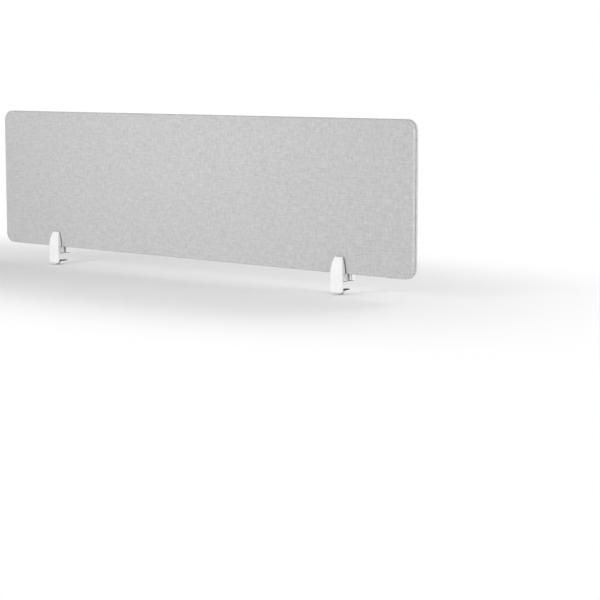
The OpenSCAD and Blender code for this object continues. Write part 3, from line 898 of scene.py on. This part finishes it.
def turned(bm, rows, steps):
    """Turns a row of radius and height about the upright axis."""
    vertices, edges = chain(bm, [(radius, 0, height) for radius, height in rows])
    bmesh.ops.spin(
        bm, geom=vertices + edges, cent=(0, 0, 0), axis=(0, 0, 1), dvec=(0, 0, 0), angle=FULL_TURN, steps=steps,
        use_merge=True, use_normal_flip=False, use_duplicate=False)
    bmesh.ops.remove_doubles(bm, verts=bm.verts, dist=TOUCHING)


def lie_along(bm, box, lengthways):
    """Moves an upright shape so that it runs from the box's low end to its high end."""
    low, high = box
    centre = (low + high) / 2
    turn = Matrix.Rotation(-QUARTER_TURN, 4, "X") if lengthways == "Y" else Matrix.Identity(4)
    start = Vector((centre.x, low.y, centre.z)) if lengthways == "Y" else Vector((centre.x, centre.y, low.z))
    bmesh.ops.transform(bm, matrix=Matrix.Translation(start) @ turn, verts=bm.verts)
    bmesh.ops.recalc_face_normals(bm, faces=bm.faces)


def place_steel(bm, name, body, node):
    """Puts a plated steel piece in the scene."""
    piece = place_piece(bm, name, finish_of("bright_plated_steel", steel_finish), body, [node])
    even_normals(piece)


def add_mesh(bm, other):
    """Adds one bmesh to another and frees it."""
    carried = bpy.data.meshes.new("carried")
    other.to_mesh(carried)
    other.free()
    bm.from_mesh(carried)
    bpy.data.meshes.remove(carried)


class DESKPANEL_OT_pins_and_washers(Operator):
    """Turns the guide pins and the washers"""

    bl_idname = "desk_panel.pins_and_washers"
    bl_label = "Pins and washers"

    def execute(self, context):
        sizes = settings().clamp
        for side in SIDES:
            self.make_pins(side)
            self.make_washer(f"{side}_cross_washer", f"{side}_inner", "Y", sizes.cross_hole)
            self.make_washer(f"{side}_draw_washer", f"{side}_lower", "Z", sizes.draw_hole)
        return {"FINISHED"}

    def make_pins(self, side):
        """Both pins of a clamp, with chamfered ends."""
        node = f"{side}_guide_pins"
        low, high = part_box(node)
        radius = (high.z - low.z) / 2
        edge = settings().clamp.turned_edge
        slope = edge * 1.6
        length = high.y - low.y
        bm = bmesh.new()
        for start in (low.x, high.x - 2 * radius):
            pin = bmesh.new()
            turned(pin, [(0, 0), (radius - edge, 0), (radius, slope), (radius, length - slope),
                         (radius - edge, length), (0, length)], PIN_STEPS)
            ends = (Vector((start, low.y, low.z)), Vector((start + 2 * radius, high.y, high.z)))
            lie_along(pin, ends, "Y")
            add_mesh(bm, pin)
        place_steel(bm, f"{node}_turned", f"{side}_clamp", node)

    def make_washer(self, node, body, lengthways, hole):
        """One washer, with a little room on both faces."""
        low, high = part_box(node)
        outer = (high.x - low.x) / 2
        thick = high.y - low.y if lengthways == "Y" else high.z - low.z
        edge = settings().clamp.turned_edge * 0.5
        room = settings().clamp.washer_room
        top = thick - room
        bm = bmesh.new()
        turned(bm, [(hole, room), (outer - edge, room), (outer, edge), (outer, thick - edge), (outer - edge, top),
                    (hole, top), (hole, room)], WASHER_STEPS)
        lie_along(bm, (low, high), lengthways)
        place_steel(bm, f"{node}_turned", body, node)


class DESKPANEL_OT_screws(Operator):
    """Makes the socket screws with their cut threads"""

    bl_idname = "desk_panel.screws"
    bl_label = "Screws"

    def execute(self, context):
        sizes = settings().clamp
        for side in SIDES:
            self.make_screw(
                f"{side}_cross_bolt", f"{side}_cross_screw", "Y",
                sizes.cross_thread, sizes.cross_head, sizes.cross_key, sizes.cross_pitch)
            self.make_screw(
                f"{side}_draw_bolt", f"{side}_draw_screw", "Z",
                sizes.draw_thread, sizes.draw_head, sizes.draw_key, sizes.draw_pitch)
        return {"FINISHED"}

    def make_screw(self, node, body, lengthways, diameter, head, key, pitch):
        """One screw, with its head at the low end of an upright one and at the high end of a level one."""
        low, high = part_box(node)
        length = high.y - low.y if lengthways == "Y" else high.z - low.z
        head_radius = (high.x - low.x) / 2
        bm = bmesh.new()
        self.add_head(bm, head_radius, head, key, diameter / 2)
        self.add_thread(bm, diameter / 2, pitch, length - head)
        if lengthways == "Y":
            flip = Matrix.Translation((0, 0, length)) @ Matrix.Rotation(math.pi, 4, "X")
            bmesh.ops.transform(bm, matrix=flip, verts=bm.verts)
        lie_along(bm, (low, high), lengthways)
        place_steel(bm, f"{node}_threaded", body, node)

    def add_head(self, bm, radius, head, key, shank):
        """A cylinder head with a hexagon socket, its open side down at height zero."""
        edge = settings().clamp.turned_edge
        corner = key / math.sqrt(3)
        mouth = bmesh.ops.create_circle(bm, cap_ends=False, radius=corner, segments=6)["verts"]
        rim = bmesh.ops.create_circle(bm, cap_ends=False, radius=radius - edge, segments=SCREW_STEPS)["verts"]
        mouth_edges = self.ring(mouth)
        bmesh.ops.bridge_loops(bm, edges=mouth_edges + self.ring(rim))
        depth = head * 0.55
        floor = bmesh.ops.extrude_edge_only(bm, edges=mouth_edges)
        bmesh.ops.translate(bm, verts=made_vertices(floor), vec=(0, 0, depth))
        bottom = last_row(made_edges(floor), made_vertices(floor))
        # The socket's floor is drawn together on the axis, as a drill leaves it
        point_row = bmesh.ops.extrude_edge_only(bm, edges=bottom)
        bmesh.ops.scale(bm, verts=made_vertices(point_row), vec=(0, 0, 1))
        bmesh.ops.translate(bm, verts=made_vertices(point_row), vec=(0, 0, corner * 0.35))
        turned(bm, [(radius - edge, 0), (radius, edge), (radius, head - edge / 2), (radius - edge / 2, head),
                    (shank * 0.9, head)], SCREW_STEPS)

    def ring(self, vertices):
        """The edges between the vertices of a circle."""
        return last_row({edge for vertex in vertices for edge in vertex.link_edges}, vertices)

    def add_thread(self, bm, radius, pitch, length):
        """A core with a ridge wound round it, above the head."""
        depth = pitch * 0.6
        core = radius - depth
        tip = settings().clamp.turned_edge
        base = max(vertex.co.z for vertex in bm.verts)
        turned(bm, [(radius * 0.9, base), (core, base + pitch), (core, base + length - tip),
                    (core - tip, base + length), (0, base + length)], SCREW_STEPS)
        turns = int((length - 2.2 * pitch) / pitch)
        ridge = bmesh.new()
        start = base + pitch * 0.8
        inner = core - pitch * 0.1
        corners = [(inner, start), (radius, start + pitch * 0.42), (radius, start + pitch * 0.54),
                   (inner, start + pitch * 0.96)]
        vertices, edges = chain(ridge, [(out, 0, up) for out, up in corners])
        edges.append(ridge.edges.new((vertices[-1], vertices[0])))
        ridge.faces.new(vertices)
        steps = settings().clamp.turn_steps
        result = bmesh.ops.spin(
            ridge, geom=vertices + edges, cent=(0, 0, 0), axis=(0, 0, 1), dvec=(0, 0, pitch / steps),
            angle=FULL_TURN * turns, steps=steps * turns, use_merge=False, use_normal_flip=False,
            use_duplicate=False)
        last = made_vertices(result, "geom_last")
        bmesh.ops.contextual_create(ridge, geom=last)
        bmesh.ops.recalc_face_normals(ridge, faces=ridge.faces)
        add_mesh(bm, ridge)


class DESKPANEL_OT_studio(Operator):
    """Sets the camera, the lamps, the white surroundings and the floor"""

    bl_idname = "desk_panel.studio"
    bl_label = "Studio"

    def execute(self, context):
        scene = context.scene
        scene.view_settings.view_transform = "Standard"
        studio = settings().studio
        self.set_camera(scene, studio)
        self.set_surroundings(scene, studio)
        self.lay_floor(scene, studio)
        for name, place, aim, size, power in LAMPS:
            self.hang_lamp(scene, name, place, aim, size, getattr(studio, power))
        return {"FINISHED"}

    def set_camera(self, scene, studio):
        """The camera at the height and angle of the main view."""
        camera = bpy.data.objects.new("camera", bpy.data.cameras.new("camera"))
        scene.collection.objects.link(camera)
        camera.data.sensor_width = 36.0
        camera.data.lens = studio.lens
        camera.location = studio.eye
        camera.rotation_euler = (Vector(studio.aim) - Vector(studio.eye)).to_track_quat("-Z", "Y").to_euler()
        scene.camera = camera

    def seen_directly(self, tree):
        """One for rays that show the surroundings: to the camera, in gloss and through glass."""
        rays = add_node(tree, "ShaderNodeLightPath").outputs
        gloss = arithmetic(tree, "MAXIMUM", rays["Is Glossy Ray"], rays["Is Transmission Ray"])
        return arithmetic(tree, "MAXIMUM", rays["Is Camera Ray"], gloss)

    def set_surroundings(self, scene, studio):
        """White to look at, and weaker as light."""
        world = bpy.data.worlds.new("white_surroundings")
        scene.world = world
        world.use_nodes = True
        tree = world.node_tree
        tree.nodes.clear()
        strength = between(tree, self.seen_directly(tree), studio.ambient, 1.0)
        light = add_node(tree, "ShaderNodeBackground", {"Color": (1, 1, 1, 1), "Strength": strength})
        output = tree.nodes.new("ShaderNodeOutputWorld")
        tree.links.new(light.outputs[0], output.inputs["Surface"])

    def lay_floor(self, scene, studio):
        """A pale floor that keeps the part's shadow and fades to white further out."""
        bm = bmesh.new()
        below = Matrix.Translation((0, 0, CAD_BOX[0].z - FLOOR_ROOM))
        bmesh.ops.create_grid(bm, x_segments=1, y_segments=1, size=FLOOR_REACH, matrix=below)
        mesh = bpy.data.meshes.new("floor")
        bm.to_mesh(mesh)
        bm.free()
        material, tree, shader = new_finish("pale_floor")
        set_even(shader, {"Base Color": solid_colour(studio.floor), "Roughness": 0.9, "Specular IOR Level": 0.1})
        shape = add_node(tree, "ShaderNodeMapping", {"Vector": object_place(tree), "Scale": FADE_SHAPE})
        away = add_node(tree, "ShaderNodeVectorMath", {0: shape.outputs[0]}, operation="LENGTH").outputs["Value"]
        fade = add_node(
            tree, "ShaderNodeMapRange", {0: away, 1: FADE_START, 2: FADE_END, 3: 0.0, 4: 1.0},
            interpolation_type="SMOOTHSTEP")
        white = add_node(tree, "ShaderNodeEmission", {"Color": (1, 1, 1, 1), "Strength": 1.0})
        share = arithmetic(tree, "MULTIPLY", fade.outputs[0], self.seen_directly(tree))
        mixed = add_node(tree, "ShaderNodeMixShader", {0: share, 1: shader.outputs[0], 2: white.outputs[0]})
        output = next(node for node in tree.nodes if node.type == "OUTPUT_MATERIAL")
        tree.links.new(mixed.outputs[0], output.inputs["Surface"])
        mesh.materials.append(material)
        floor = bpy.data.objects.new("floor", mesh)
        scene.collection.objects.link(floor)

    def hang_lamp(self, scene, name, place, aim, size, power):
        """A soft square lamp that looks at its aim."""
        lamp = bpy.data.objects.new(name, bpy.data.lights.new(name, "AREA"))
        scene.collection.objects.link(lamp)
        lamp.data.shape = "SQUARE"
        lamp.data.size = size
        lamp.data.energy = power
        lamp.location = place
        lamp.rotation_euler = (Vector(aim) - Vector(place)).to_track_quat("-Z", "Y").to_euler()


OPERATORS = (
    DESKPANEL_OT_covers, DESKPANEL_OT_wadding, DESKPANEL_OT_keder, DESKPANEL_OT_core, DESKPANEL_OT_castings,
    DESKPANEL_OT_rubber, DESKPANEL_OT_pins_and_washers, DESKPANEL_OT_screws, DESKPANEL_OT_studio)


class DESKPANEL_PT_sidebar(Panel):
    """Buttons for each group of pieces"""

    bl_idname = "DESKPANEL_PT_sidebar"
    bl_label = "Desk Panel"
    bl_space_type = "VIEW_3D"
    bl_region_type = "UI"
    bl_category = "Desk Panel"

    def draw(self, context):
        for operator in OPERATORS:
            self.layout.operator(operator.bl_idname)


GROUPS = (UpholsterySizes, ClothFinish, ClampSizes, ClampFinish, StudioSettings, DeskPanelSettings)


def register():
    """Adds the classes and the panel's settings."""
    for kind in GROUPS + OPERATORS + (DESKPANEL_PT_sidebar,):
        bpy.utils.register_class(kind)
    bpy.types.Scene.desk_panel = PointerProperty(type=DeskPanelSettings)


def unregister():
    """Takes the settings and the classes out again."""
    del bpy.types.Scene.desk_panel
    for kind in reversed(GROUPS + OPERATORS + (DESKPANEL_PT_sidebar,)):
        bpy.utils.unregister_class(kind)


def main():
    """Dresses the whole part."""
    register()
    bpy.ops.desk_panel.studio()
    bpy.ops.desk_panel.covers()
    bpy.ops.desk_panel.wadding()
    bpy.ops.desk_panel.keder()
    bpy.ops.desk_panel.core()
    bpy.ops.desk_panel.castings()
    bpy.ops.desk_panel.rubber()
    bpy.ops.desk_panel.pins_and_washers()
    bpy.ops.desk_panel.screws()


if __name__ == "__main__":
    main()
